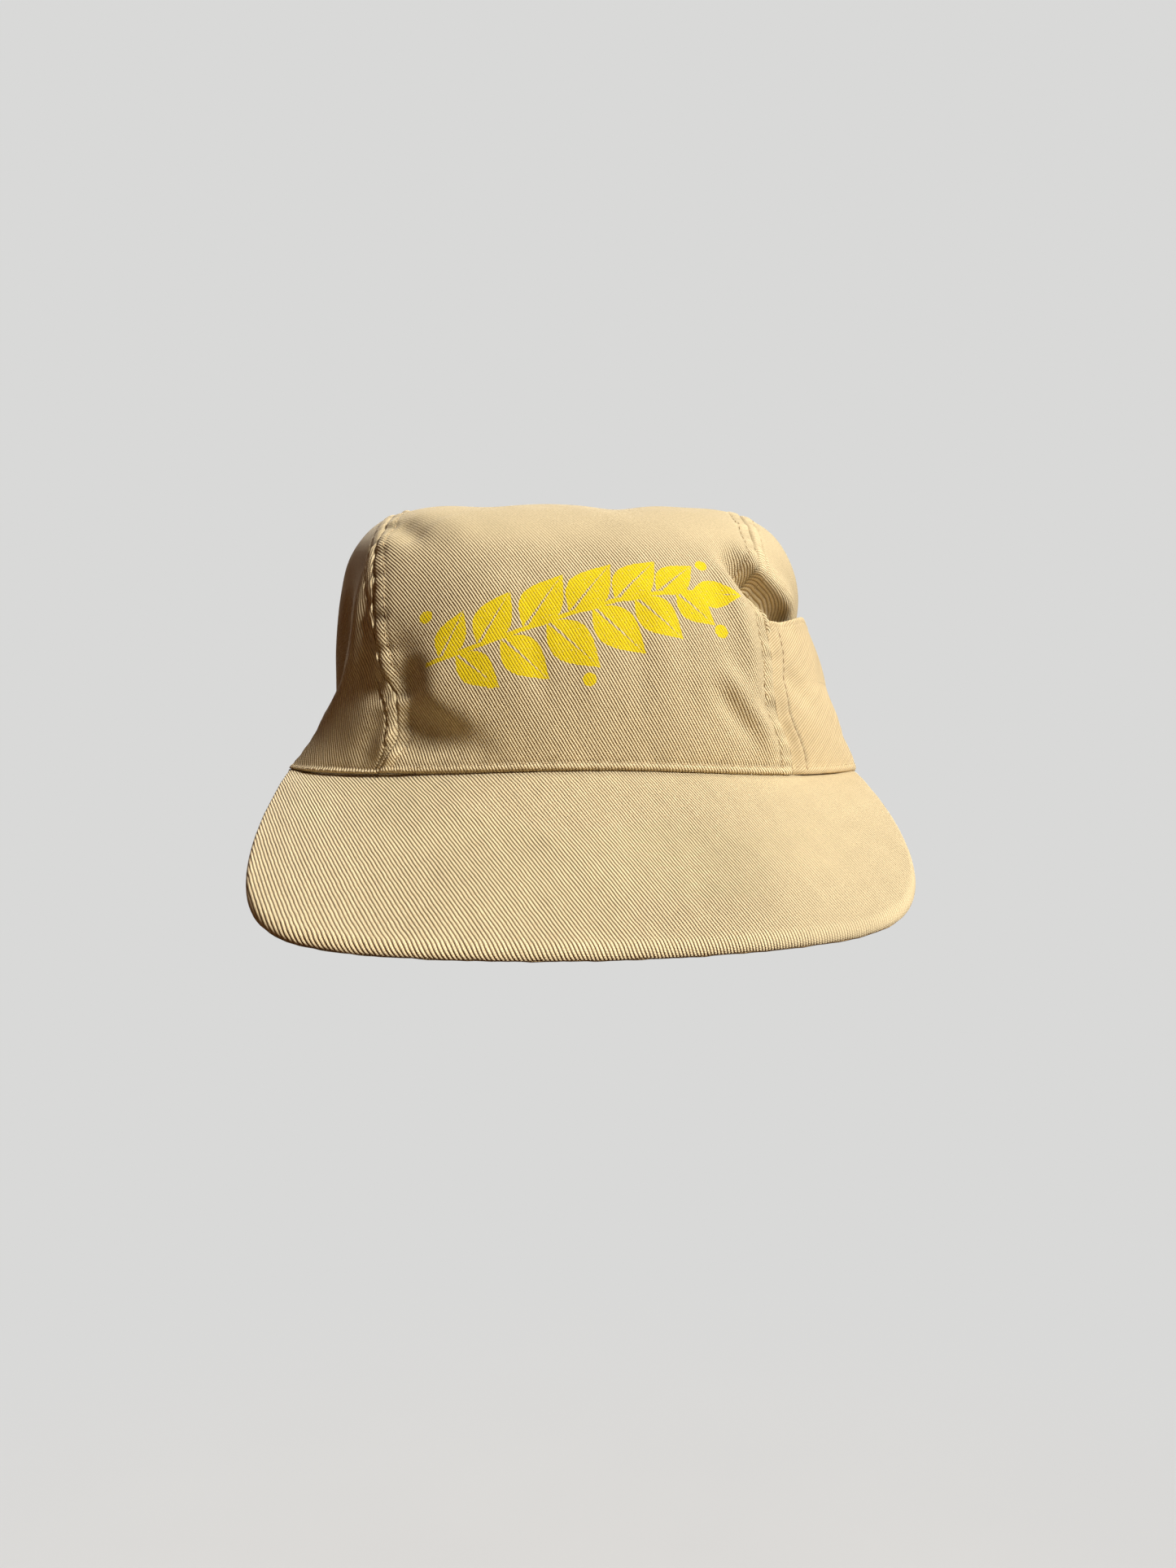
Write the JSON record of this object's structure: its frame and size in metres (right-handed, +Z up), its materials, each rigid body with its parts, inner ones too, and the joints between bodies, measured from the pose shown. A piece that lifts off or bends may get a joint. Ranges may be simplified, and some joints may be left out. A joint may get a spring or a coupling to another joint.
{
  "type": "peaked cap",
  "caption": "Soft twill peaked cap with a wide front panel, stiff sloping visor, side patch pocket, sweatband and a snap strap across an arched opening at the back.",
  "frame": {"origin": "centre of the head opening, in the plane of the band seam", "axes": "+Z up towards the top of the crown, the visor points along -Y, +X is the wearer's left"},
  "size_m": [0.1915, 0.2682, 0.1439],
  "materials": {
    "twill": "coarse cotton twill, matt",
    "pocket_twill": "coarse cotton twill cut the other way, matt",
    "visor_twill": "coarse cotton twill over a board, matt",
    "visor_under": "coarse cotton twill, matt",
    "sweatband_cloth": "folded cotton twill, matt",
    "tape": "plain woven cotton tape, matt",
    "binding": "folded cotton twill, matt",
    "board": "pressed polyethylene sheet",
    "strap_plastic": "moulded soft plastic, satin"
  },
  "bodies": {
    "cap": {"front_panel": "twill", "top_panel_left": "twill", "top_panel_right": "twill", "side_panel_left": "twill", "side_panel_right": "twill", "pocket_patch": "pocket_twill", "visor_top_cover": "visor_twill", "visor_under_cover": "visor_under", "sweatband": "sweatband_cloth", "seam_tape_left": "tape", "seam_tape_right": "tape", "seam_tape_top": "tape", "seam_tape_back": "tape", "arch_binding": "binding", "visor_board": "board", "peg_strap": "strap_plastic", "hole_strap_tab": "strap_plastic"},
    "strap": {"hole_strap": "strap_plastic"}
  },
  "joints": [
    {"name": "strap_opens", "type": "hinge", "parent": "cap", "child": "strap", "pos_m": [0.03581, 0.08822, 0.0095], "axis": [0, 0, -1], "range_deg": [0, 50], "stiffness_Nm_per_rad": 0.015}
  ]
}
